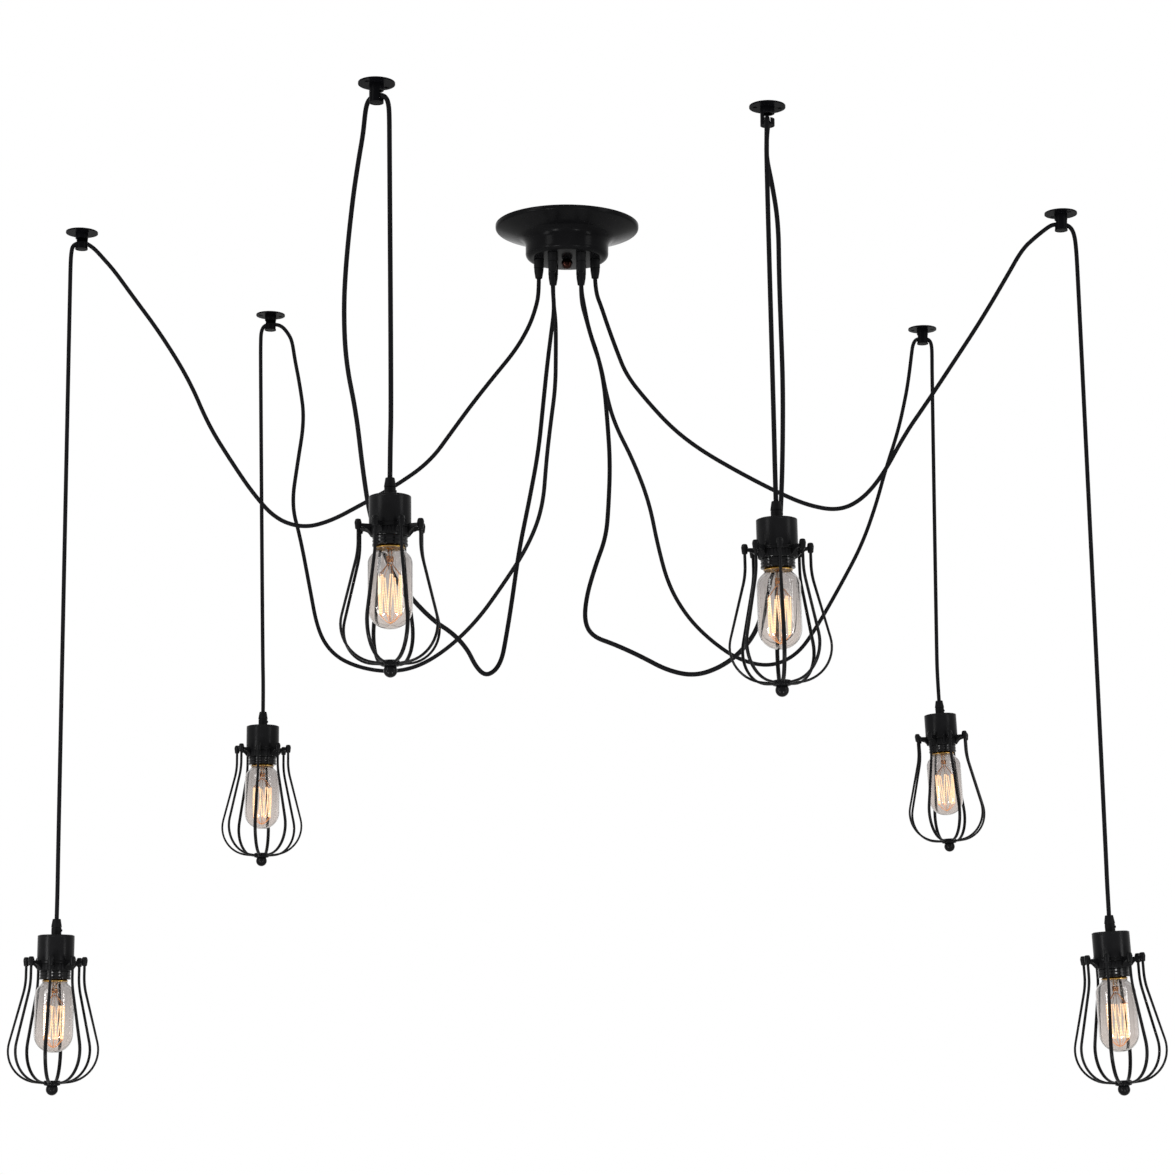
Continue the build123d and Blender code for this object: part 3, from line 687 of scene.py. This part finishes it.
def coilMesh():
    # Legs that run down from each upper hook and up to the next, as a zigzag round the stem
    shape = bmesh.new()
    spread = filament["spread"]
    for loop in range(filament["loops"]):
        for side in (-1, 1):
            upper = around(filament["radius"], filament["top"], loop + side * spread)
            lower = around(filament["footRadius"], filament["bottom"], loop + side * (0.5 - spread))
            middle = (upper + lower) / 2
            belly = Vector((middle.x, middle.y, 0)).normalized() * filament["belly"] * mm
            tube(shape, [upper, middle + belly, lower], filament["coil"] * mm, 10)
    return finishMesh(shape, "filamentCoil", 60)


def tailMesh():
    # Lower hooks, hot from the coil, that come in to the foot of the stem
    shape = bmesh.new()
    r, foot = filament["footRadius"], filament["bottom"]
    hook = [(r + 0.9, foot + 0.6), (r + 0.6, foot - 0.6), (r - 1.6, foot - 2.6), (5.2, foot - 6.6),
            (2.2, foot - 8.6), (0.5, foot - 8.9)]
    for loop in range(filament["loops"]):
        tube(shape, [around(reach, z, loop + 0.5) for reach, z in hook], filament["tail"] * mm, 8)
    return finishMesh(shape, "filamentTail", 60)


def leadsMesh():
    # Lead wires in the stem, wire wraps round the press and the upper hooks that fan out from it
    shape = bmesh.new()
    r, top, tubeEnd, pressEnd = filament["radius"], filament["top"], stem["tubeEnd"], stem["pressEnd"]
    lead = [(1.5, bulb["top"] + 0.5), (1.6, tubeEnd + 1), (1.9, pressEnd + 1), (2.8, pressEnd - 2.5),
            (6.8, top + 6.0), (r - 0.4, top + 0.6)]
    for side in (-1, 1):
        tube(shape, [Vector((side * reach, 0, z)) * mm for reach, z in lead], filament["lead"] * mm, 8)
    wide = stem["pressRadius"] + filament["wrapGap"]
    thin = stem["pressRadius"] * stem["pressShare"] + filament["wrapGap"]
    for turn in range(filament["wraps"]):
        z = tubeEnd - 0.6 - turn * filament["wrapPitch"]
        wrap = []
        for k in range(21):
            a = 2 * pi * k / 20
            sway = filament["wrapSway"] * sin(2 * a + turn)
            wrap.append(Vector((wide * cos(a), thin * sin(a), z + sway)) * mm)
        tube(shape, wrap, filament["wrap"] * mm, 8)
    hook = [(0.6, pressEnd - 1.6), (2.4, pressEnd - 2.4), (6.6, pressEnd - 7.0), (r - 0.9, top + 1.3),
            (r + 0.5, top + 0.4), (r + 0.7, top - 0.8)]
    for loop in range(filament["loops"]):
        tube(shape, [around(reach, z, loop) for reach, z in hook], filament["support"] * mm, 6)
    return finishMesh(shape, "leadWires", 60)


dressLamps("bulb", [("glassEnvelope", envelopeMesh(), bulbGlass, "bulb_glass", "bulb_glass"),
                    ("screwCap", capMesh(), capBrass, "cap_brass", "bulb_cap"),
                    ("pressedStem", stemMesh(), stemGlass, "filament_metal", "filament"),
                    ("filamentCoil", coilMesh(), coilTungsten, "filament_metal", "filament"),
                    ("filamentTail", tailMesh(), tailTungsten, "filament_metal", "filament"),
                    ("leadWires", leadsMesh(), leadWire, "filament_metal", "filament")])
print("bulbs made")


# Canopy: spun saucer and drum in one skin, open at the ceiling
canopy = {"radius": 85.2, "wall": 1.2, "rim": 5, "rimRound": 3.4, "drumRadius": 49.2, "saucerDepth": 17,
          "saucerRound": 14, "depth": 41.5, "drumRound": 7, "floorHole": 3.1}


def canopyMesh():
    shape = bmesh.new()
    w, r, rim, rimRound = canopy["wall"], canopy["radius"], -canopy["rim"], canopy["rimRound"]
    saucer, saucerRound, hole = -canopy["saucerDepth"], canopy["saucerRound"], canopy["floorHole"]
    drum, depth, drumRound = canopy["drumRadius"], -canopy["depth"], canopy["drumRound"]
    outside = [(r, 0, 0), (r, rim, rimRound), (drum, saucer, saucerRound), (drum, depth, drumRound),
               (hole, depth, 0)]
    inside = [(hole, depth + w, 0), (drum - w, depth + w, drumRound - w),
              (drum - w, saucer + w, saucerRound + w), (r - w, rim + w, rimRound - w), (r - w, 0, 0)]
    lathe(shape, outside + inside, 144, 10)
    return finishMesh(shape, "canopySpun", 30)


# Cord grips under the drum, each held by a nut inside it; "turns" are degrees about the canopy's axis
gland = {"circle": 33.4, "length": 23, "radius": 5.9, "seam": 10.5, "taper": 8, "lip": 0.2, "lipDepth": 1.4,
         "groove": 0.8, "grooveDepth": 0.5, "mouthRadius": 4.1, "boreRadius": 2.7, "boreDepth": 1.5,
         "spigotRadius": 4.8, "nutWidth": 13, "nutHeight": 3, "nutGap": 0.8,
         "turns": {1: 180, 2: 240, 3: 120, 4: 300, 5: 0, 6: 60}}


def canopyGripMesh():
    shape = bmesh.new()
    seam, end, r, lip = -gland["seam"], -gland["length"], gland["radius"], gland["radius"] + gland["lip"]
    neck, gap, lipEnd = r - gland["groove"], gland["grooveDepth"], -gland["lipDepth"]
    spigot, spigotTop = gland["spigotRadius"], canopy["wall"] + gland["nutHeight"]
    bore, boreTop = gland["boreRadius"], end + gland["boreDepth"]
    lathe(shape, [(0, spigotTop, 0), (spigot, spigotTop, 0.4), (spigot, 0, 0), (r, 0, 0), (lip, -0.3, 0),
                  (lip, lipEnd, 0.3), (r, lipEnd - 0.1, 0), (r, seam, 0.35), (neck, seam, 0),
                  (neck, seam - gap, 0), (r - 0.2, seam - gap, 0.3), (r - 0.5, end + gland["taper"], 2.5),
                  (gland["mouthRadius"], end, 0.5), (bore, end, 0), (bore, boreTop, 0),
                  (0, boreTop, 0)], 40, 3)
    # Hexagonal nut inside the drum
    inner, corner = spigot + gland["nutGap"], gland["nutWidth"] / 2 / cos(radians(30))
    lathe(shape, [(inner, spigotTop, 0), (corner, spigotTop, 0), (corner, canopy["wall"], 0),
                  (inner, canopy["wall"], 0)], 6)
    return finishMesh(shape, "canopyGrip", 35)


canopyPiece = addObject("canopySpun", canopyMesh(), canopyCoat)
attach(canopyPiece, "ceiling_set")
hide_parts("canopy_shell")
glandMesh = canopyGripMesh()
for number, turn in gland["turns"].items():
    a = radians(turn)
    spot = Vector((gland["circle"] * cos(a), gland["circle"] * sin(a), -canopy["depth"])) * mm
    piece = addObject(f"canopyGrip_{number}", glandMesh, gripNylon, Matrix.Translation(spot))
    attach(piece, "ceiling_set")
    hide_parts("canopy_cord_grips")
print("canopy made")


# Cups over the holders
dressLamps("lamp", [("cupSpun", cupMesh(), lampCoat, "cup_black", "holder_cup")])
print("cups made")


# Carried-over nodes, whose shapes are right, only get their finish
for nodeName, material in {"mounting_bar": barSteel, "canopy_ball_nut": nutBronze,
                           "terminal_block": blockPlastic, "ceiling_hooks": hookCoat}.items():
    node = bpy.data.objects[nodeName]
    node.data.materials.clear()
    node.data.materials.append(material)
print("carried-over nodes finished")


# Cords: the part's routes, with a point moved or added where the photograph shows it
cord = {"diameter": braid["diameter"] * mm, "sides": 16, "resolution": 10}
swagRoutes = {
    1: [(-0.0334, 0, -0.0645), (-0.0334, 0, -0.0835), (-0.037, 0, -0.101), (-0.045, 0.001, -0.124),
        (-0.061, 0.001, -0.1525), (-0.086, 0.002, -0.1835), (-0.1115, 0.003, -0.2165),
        (-0.134, 0.004, -0.248), (-0.161, 0.006, -0.286), (-0.202, 0.008, -0.315), (-0.24, 0.009, -0.336),
        (-0.277, 0.011, -0.356), (-0.309, 0.012, -0.364), (-0.342, 0.014, -0.353), (-0.37, 0.016, -0.321),
        (-0.395, 0.017, -0.2845), (-0.424, 0.018, -0.239), (-0.448, 0.02, -0.184), (-0.484, 0.021, -0.1265),
        (-0.5195, 0.022, -0.079), (-0.5415, 0.024, -0.0485), (-0.556, 0.024, -0.0322),
        (-0.565, 0.024, -0.0222), (-0.5725, 0.024, -0.0163), (-0.5775, 0.024, -0.0138),
        (-0.582, 0.024, -0.0138)],
    2: [(-0.0167, -0.0289, -0.0645), (-0.0165, -0.0289, -0.0855), (-0.0145, -0.032, -0.111),
        (-0.018, -0.041, -0.142), (-0.0225, -0.055, -0.185), (-0.027, -0.075, -0.24),
        (-0.0315, -0.098, -0.297), (-0.0415, -0.122, -0.36), (-0.052, -0.146, -0.42),
        (-0.059, -0.172, -0.483), (-0.0648, -0.198, -0.529), (-0.0685, -0.212, -0.553),
        (-0.0758, -0.221, -0.567), (-0.086, -0.231, -0.573), (-0.0955, -0.246, -0.565),
        (-0.104, -0.264, -0.5485), (-0.119, -0.284, -0.5345), (-0.139, -0.302, -0.524),
        (-0.164, -0.322, -0.5), (-0.186, -0.338, -0.469), (-0.202, -0.352, -0.426), (-0.209, -0.376, -0.376),
        (-0.214, -0.402, -0.324), (-0.2235, -0.426, -0.276), (-0.225, -0.444, -0.226),
        (-0.222, -0.458, -0.179), (-0.215, -0.472, -0.117), (-0.209, -0.478, -0.077),
        (-0.2044, -0.4833, -0.0518), (-0.2028, -0.4844, -0.0338), (-0.2016, -0.4853, -0.0238),
        (-0.1991, -0.487, -0.0168), (-0.1946, -0.4901, -0.0138), (-0.1905, -0.493, -0.0138)],
    3: [(-0.0167, 0.0289, -0.0645), (-0.0167, 0.0289, -0.0835), (-0.0135, 0.034, -0.109),
        (-0.0135, 0.043, -0.143), (-0.014, 0.054, -0.184), (-0.02, 0.067, -0.226), (-0.025, 0.08, -0.267),
        (-0.0295, 0.096, -0.3235), (-0.048, 0.112, -0.368), (-0.078, 0.132, -0.4105),
        (-0.1105, 0.154, -0.452), (-0.148, 0.18, -0.483), (-0.185, 0.206, -0.501), (-0.222, 0.23, -0.504),
        (-0.263, 0.256, -0.494), (-0.296, 0.28, -0.475), (-0.318, 0.302, -0.442), (-0.332, 0.322, -0.378),
        (-0.346, 0.334, -0.313), (-0.359, 0.344, -0.269), (-0.3535, 0.357, -0.211), (-0.3465, 0.369, -0.149),
        (-0.355, 0.381, -0.099), (-0.363, 0.389, -0.063), (-0.3675, 0.395, -0.037),
        (-0.3735, 0.397, -0.0255), (-0.381, 0.397, -0.0165), (-0.3895, 0.397, -0.0132),
        (-0.397, 0.397, -0.0138)],
    4: [(0.0167, -0.0289, -0.0645), (0.0167, -0.0289, -0.0855), (0.021, -0.034, -0.111),
        (0.0265, -0.046, -0.1415), (0.0368, -0.062, -0.1755), (0.0435, -0.082, -0.214),
        (0.047, -0.102, -0.261), (0.05, -0.125, -0.315), (0.048, -0.148, -0.369), (0.045, -0.168, -0.409),
        (0.033, -0.186, -0.445), (0.023, -0.204, -0.483), (0.021, -0.22, -0.513), (0.03, -0.234, -0.531),
        (0.053, -0.252, -0.542), (0.081, -0.272, -0.558), (0.109, -0.29, -0.576), (0.137, -0.306, -0.584),
        (0.163, -0.32, -0.577), (0.185, -0.332, -0.562), (0.2025, -0.342, -0.538), (0.213, -0.346, -0.494),
        (0.224, -0.35, -0.447), (0.227, -0.356, -0.395), (0.228, -0.366, -0.344), (0.228, -0.378, -0.288),
        (0.226, -0.388, -0.232), (0.224, -0.397, -0.175), (0.2235, -0.403, -0.12), (0.217, -0.406, -0.078),
        (0.2118, -0.4056, -0.0518), (0.2118, -0.4076, -0.0338), (0.2125, -0.4091, -0.0238),
        (0.2133, -0.4121, -0.0168), (0.2126, -0.4175, -0.0138), (0.212, -0.4225, -0.0138)],
    5: [(0.0334, 0, -0.0645), (0.0342, 0, -0.0815), (0.0405, 0, -0.0985), (0.0485, -0.001, -0.1235),
        (0.0585, -0.003, -0.1525), (0.0702, -0.006, -0.184), (0.094, -0.009, -0.2157),
        (0.124, -0.012, -0.25), (0.157, -0.016, -0.277), (0.2, -0.02, -0.3035), (0.244, -0.024, -0.328),
        (0.28, -0.028, -0.345), (0.315, -0.031, -0.352), (0.342, -0.034, -0.34), (0.367, -0.037, -0.311),
        (0.393, -0.04, -0.263), (0.419, -0.042, -0.226), (0.449, -0.044, -0.181), (0.484, -0.047, -0.128),
        (0.515, -0.049, -0.0758), (0.5335, -0.051, -0.0435), (0.5495, -0.052, -0.029),
        (0.56, -0.052, -0.0205), (0.568, -0.052, -0.0148), (0.575, -0.052, -0.0138),
        (0.5795, -0.052, -0.0138)],
    6: [(0.0167, 0.0289, -0.0645), (0.0167, 0.0289, -0.0835), (0.0225, 0.034, -0.104),
        (0.03, 0.046, -0.1285), (0.0405, 0.061, -0.1555), (0.0465, 0.078, -0.184), (0.057, 0.1, -0.218),
        (0.08, 0.128, -0.257), (0.1, 0.156, -0.303), (0.111, 0.184, -0.352), (0.125, 0.212, -0.398),
        (0.149, 0.24, -0.433), (0.18, 0.268, -0.459), (0.216, 0.296, -0.479), (0.258, 0.324, -0.484),
        (0.295, 0.346, -0.464), (0.322, 0.362, -0.424), (0.354, 0.378, -0.368), (0.384, 0.394, -0.312),
        (0.405, 0.408, -0.255), (0.419, 0.418, -0.207), (0.4385, 0.434, -0.151), (0.451, 0.448, -0.101),
        (0.457, 0.46, -0.072), (0.461, 0.4685, -0.0488), (0.463, 0.4685, -0.0338), (0.4645, 0.4685, -0.0238),
        (0.4675, 0.4685, -0.0168), (0.473, 0.4685, -0.0138), (0.478, 0.4685, -0.0138)],
}
dropRoutes = {
    1: [(-0.582, 0.024, -0.0138), (-0.587, 0.024, -0.0138), (-0.5925, 0.024, -0.0173),
        (-0.594, 0.024, -0.0248), (-0.5945, 0.024, -0.0378), (-0.5942, 0.024, -0.0678),
        (-0.5868, 0.024, -0.7496), (-0.5862, 0.024, -0.7846), (-0.5861, 0.024, -0.8196)],
    2: [(-0.1905, -0.493, -0.0138), (-0.1864, -0.4959, -0.0138), (-0.1805, -0.499, -0.0173),
        (-0.1775, -0.5006, -0.0248), (-0.1765, -0.501, -0.0378), (-0.176, -0.501, -0.0678),
        (-0.171, -0.501, -0.3431), (-0.1715, -0.501, -0.3781), (-0.1714, -0.501, -0.4131)],
    3: [(-0.397, 0.397, -0.0138), (-0.4018, 0.397, -0.0138), (-0.4068, 0.397, -0.0173),
        (-0.4092, 0.397, -0.0248), (-0.4095, 0.397, -0.0378), (-0.409, 0.397, -0.0678),
        (-0.3985, 0.397, -0.4621), (-0.397, 0.397, -0.4971), (-0.3967, 0.397, -0.5321)],
    4: [(0.212, -0.4225, -0.0138), (0.2114, -0.4275, -0.0138), (0.2108, -0.4319, -0.0173),
        (0.2105, -0.4344, -0.0248), (0.2102, -0.4349, -0.0378), (0.2098, -0.435, -0.0678),
        (0.2144, -0.4352, -0.3534), (0.2147, -0.4352, -0.3884), (0.2154, -0.4352, -0.4234)],
    5: [(0.5795, -0.052, -0.0138), (0.5845, -0.052, -0.0138), (0.591, -0.052, -0.0178),
        (0.5945, -0.052, -0.0258), (0.5962, -0.052, -0.0398), (0.5972, -0.052, -0.0698),
        (0.609, -0.052, -0.7496), (0.6093, -0.052, -0.7846), (0.6103, -0.052, -0.8195)],
    6: [(0.478, 0.4685, -0.0138), (0.483, 0.4685, -0.0138), (0.4883, 0.4685, -0.0172),
        (0.4903, 0.4685, -0.0248), (0.4904, 0.4685, -0.0378), (0.4899, 0.4685, -0.0678),
        (0.4882, 0.4685, -0.4382), (0.4883, 0.4685, -0.4732), (0.4899, 0.4685, -0.5081)],
}


# Saddle pressed into the foot of each hook's post, which closes it below and carries the cord
saddle = {"radius": 5.4, "foot": -21.4, "crest": -17.2, "fall": 0.26}
hookTurns = {1: 180, 2: -35, 3: 180, 4: -97, 5: 0, 6: 0}


def saddleMesh(turn):
    shape = bmesh.new()
    steps = [saddle["radius"] * k / 6 for k in range(7)]
    lathe(shape, [(r, saddle["crest"], 0) for r in steps] +
          [(saddle["radius"], saddle["foot"], 0.7), (0, saddle["foot"], 0)], 48, 4)
    for vertex in shape.verts:
        along = vertex.co.x * cos(radians(turn)) + vertex.co.y * sin(radians(turn))
        if vertex.co.z > (saddle["crest"] - 0.01) * mm:
            vertex.co.z -= saddle["fall"] * abs(along / mm) ** 1.5 * mm
    return finishMesh(shape, "hookSaddle", 35)


for number, turn in hookTurns.items():
    x, y = dropRoutes[number][0][:2]
    piece = addObject(f"hookSaddle_{number}", saddleMesh(turn), hookCoat, Matrix.Translation((x, y, 0)))
    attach(piece, "ceiling_set")
print("hook saddles made")


def splineLine(route):
    curve = bpy.data.curves.new("route", "CURVE")
    curve.dimensions = "3D"
    spline = curve.splines.new("NURBS")
    spline.points.add(len(route) - 1)
    for point, place in zip(spline.points, route):
        point.co = (*place, 1)
    spline.order_u = 3
    spline.use_endpoint_u = True
    spline.resolution_u = cord["resolution"]
    carrier = bpy.data.objects.new("route", curve)
    scene.collection.objects.link(carrier)
    mesh = bpy.data.meshes.new_from_object(carrier)
    line = [vertex.co.copy() for vertex in mesh.vertices]
    bpy.data.objects.remove(carrier)
    return line


def cordPiece(name, route, body, node):
    line = splineLine(route)
    shape = bmesh.new()
    tube(shape, line, cord["diameter"] / 2, cord["sides"], shape.loops.layers.uv.new("cordLength"))
    piece = addObject(name, finishMesh(shape, name, 60), cordYarn)
    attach(piece, body)
    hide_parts(node)


for number, route in swagRoutes.items():
    cordPiece(f"swagCord_{number}", route, "ceiling_set", f"swag_cord_{number}")
for number, route in dropRoutes.items():
    cordPiece(f"dropCord_{number}", route, f"drop_{number}", f"drop_cord_{number}")
print("cords made")


# Floor, world and lamps
floor = {"depth": -1.75, "side": 14, "stippleMm": 9}
shape = bmesh.new()
bmesh.ops.create_grid(shape, x_segments=1, y_segments=1, size=floor["side"] / 2)
floorPaint, floorShader, floorPlace = newMaterial("emulsionRolledFloor", Roughness=0.9)
stipple = addNode(floorPaint, "ShaderNodeTexNoise", {"Scale": perMetre(floor["stippleMm"]), "Detail": 3.0},
                  floorPlace)
shade = addNode(floorPaint, "ShaderNodeValToRGB", {"stops": [(0.3, "#F1F1EF"), (0.7, "#F6F6F4")]},
                {"Fac": stipple})
link(floorPaint, floorShader, {"Base Color": shade})
floorPiece = addObject("studioFloor", finishMesh(shape, "studioFloor"), floorPaint,
                       Matrix.Translation((0, 0, floor["depth"])))

world = bpy.data.worlds.new("studio")
scene.world = world
world.use_nodes = True
sky = {"white": 1.0, "light": 0.62}
# White where seen, through glass or in a gloss too, and a softer light on all else
worldLight = world.node_tree.nodes["Background"]
worldLight.inputs["Color"].default_value = (1, 1, 1, 1)
rays = addNode(world, "ShaderNodeLightPath")
seen = addNode(world, "ShaderNodeMath", {"operation": "MAXIMUM"},
               {0: (rays, "Is Camera Ray"), 1: (rays, "Is Transmission Ray")})
white = addNode(world, "ShaderNodeMath", {"operation": "MAXIMUM"}, {0: seen, 1: (rays, "Is Glossy Ray")})
strength = addNode(world, "ShaderNodeMapRange", {"To Min": sky["light"], "To Max": sky["white"]},
                   {"Value": white})
link(world, worldLight, {"Strength": strength})

# Softboxes: where each stands, where it points, how wide and high it is in metres, and its watts
softboxes = {"left": ((-2.6, -2.2, 0.8), (0, 0, -0.5), (1.0, 2.0), 40),
             "right": ((2.8, -1.6, 0.7), (0, 0, -0.5), (0.9, 1.8), 28),
             "lowLeft": ((-1.75, -1.1, -1.0), (-0.5, 0, -0.8), (0.35, 0.9), 16),
             "lowRight": ((1.85, -1.0, -1.0), (0.5, 0, -0.8), (0.3, 0.8), 9),
             "underLeft": ((-0.95, -1.4, -1.6), (0, 0, -0.1), (0.34, 0.34), 17),
             "underRight": ((0.8, -1.4, -1.6), (0, 0, -0.1), (0.28, 0.28), 15)}
for name, (stand, aim, size, watts) in softboxes.items():
    lampData = bpy.data.lights.new(name, "AREA")
    lampData.shape = "RECTANGLE"
    lampData.size, lampData.size_y = size
    lampData.energy = watts
    softbox = bpy.data.objects.new(name, lampData)
    softbox.location = stand
    softbox.rotation_euler = (Vector(aim) - softbox.location).to_track_quat("-Z", "Y").to_euler()
    softbox.visible_camera = False
    scene.collection.objects.link(softbox)
print("floor, world and lamps made")
